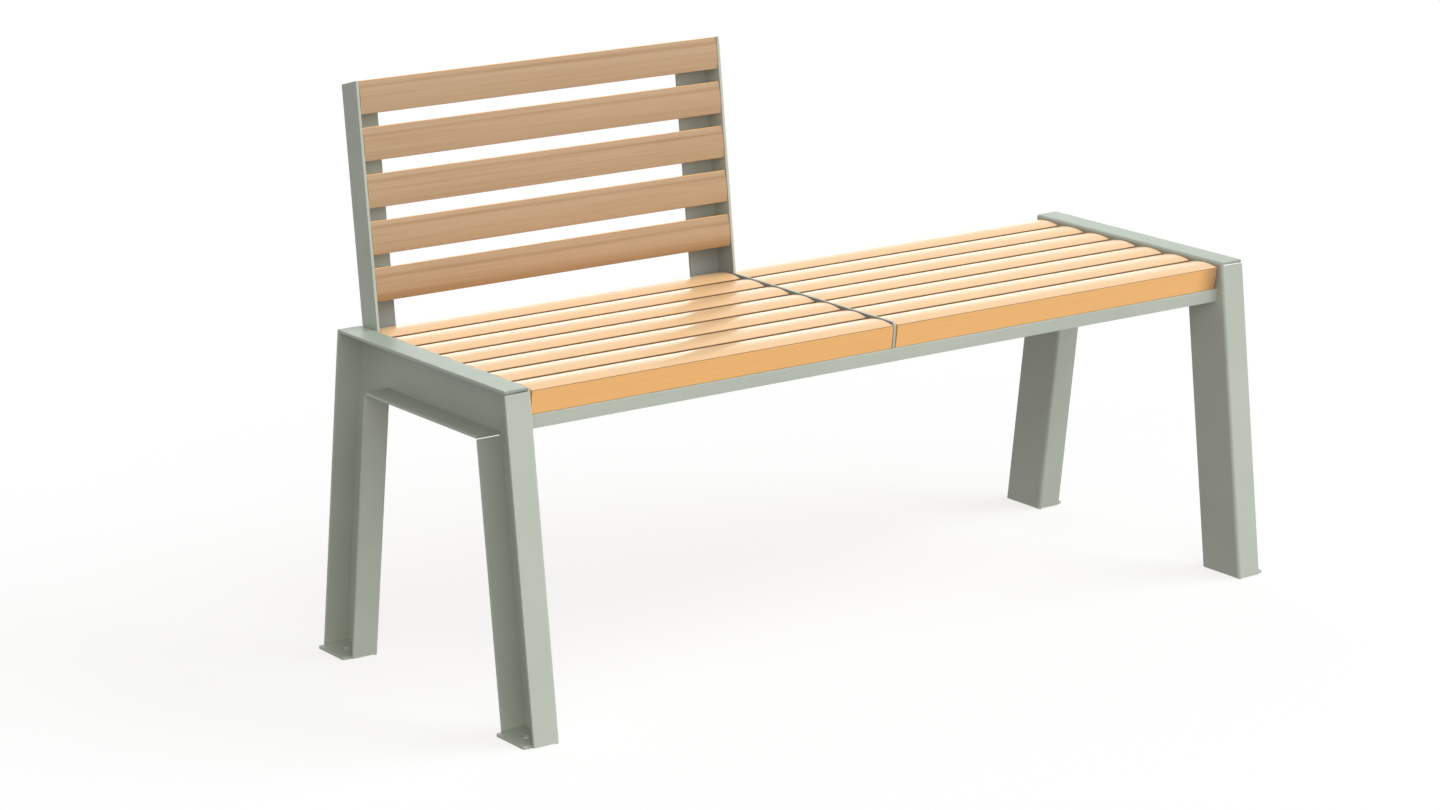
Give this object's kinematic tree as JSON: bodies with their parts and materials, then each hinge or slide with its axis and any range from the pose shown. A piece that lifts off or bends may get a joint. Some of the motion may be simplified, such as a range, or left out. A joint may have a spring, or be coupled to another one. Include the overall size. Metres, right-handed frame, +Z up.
{
  "type": "bench with backrest",
  "caption": "Timber slat bench on folded sheet steel end frames with outward flanges and foot tabs, with a leaning slatted backrest over its left half.",
  "frame": {"origin": "on the floor under the middle of the bench", "axes": "+X along the seat towards the end without a backrest, -Y towards the sitter's knees, +Z up"},
  "size_m": [1.262, 0.5116, 0.7735],
  "materials": {
    "coated_steel": "satin powder coat in pale grey green",
    "timber": "oiled warm honey coloured hardwood, fine straight grain",
    "screw_steel": "plain stainless steel"
  },
  "bodies": {
    "root": {"back_screws_left": "screw_steel", "back_screws_right": "screw_steel", "back_slat_1": "timber", "back_slat_2": "timber", "back_slat_3": "timber", "back_slat_4": "timber", "back_slat_5": "timber", "bearer_welds": "coated_steel", "centre_divider": "coated_steel", "centre_left_bearer": "coated_steel", "centre_right_bearer": "coated_steel", "front_rail": "coated_steel", "left_back_upright": "coated_steel", "left_end_bearer": "coated_steel", "left_end_frame": "coated_steel", "rail_welds": "coated_steel", "rear_rail": "coated_steel", "right_back_upright": "coated_steel", "right_end_bearer": "coated_steel", "right_end_frame": "coated_steel", "seat_screws_centre_left": "screw_steel", "seat_screws_centre_right": "screw_steel", "seat_screws_left_end": "screw_steel", "seat_screws_right_end": "screw_steel", "seat_slat_left_1": "timber", "seat_slat_left_2": "timber", "seat_slat_left_3": "timber", "seat_slat_left_4": "timber", "seat_slat_left_5": "timber", "seat_slat_left_6": "timber", "seat_slat_left_7": "timber", "seat_slat_right_1": "timber", "seat_slat_right_2": "timber", "seat_slat_right_3": "timber", "seat_slat_right_4": "timber", "seat_slat_right_5": "timber", "seat_slat_right_6": "timber", "seat_slat_right_7": "timber", "upright_welds": "coated_steel"}
  },
  "joints": []
}
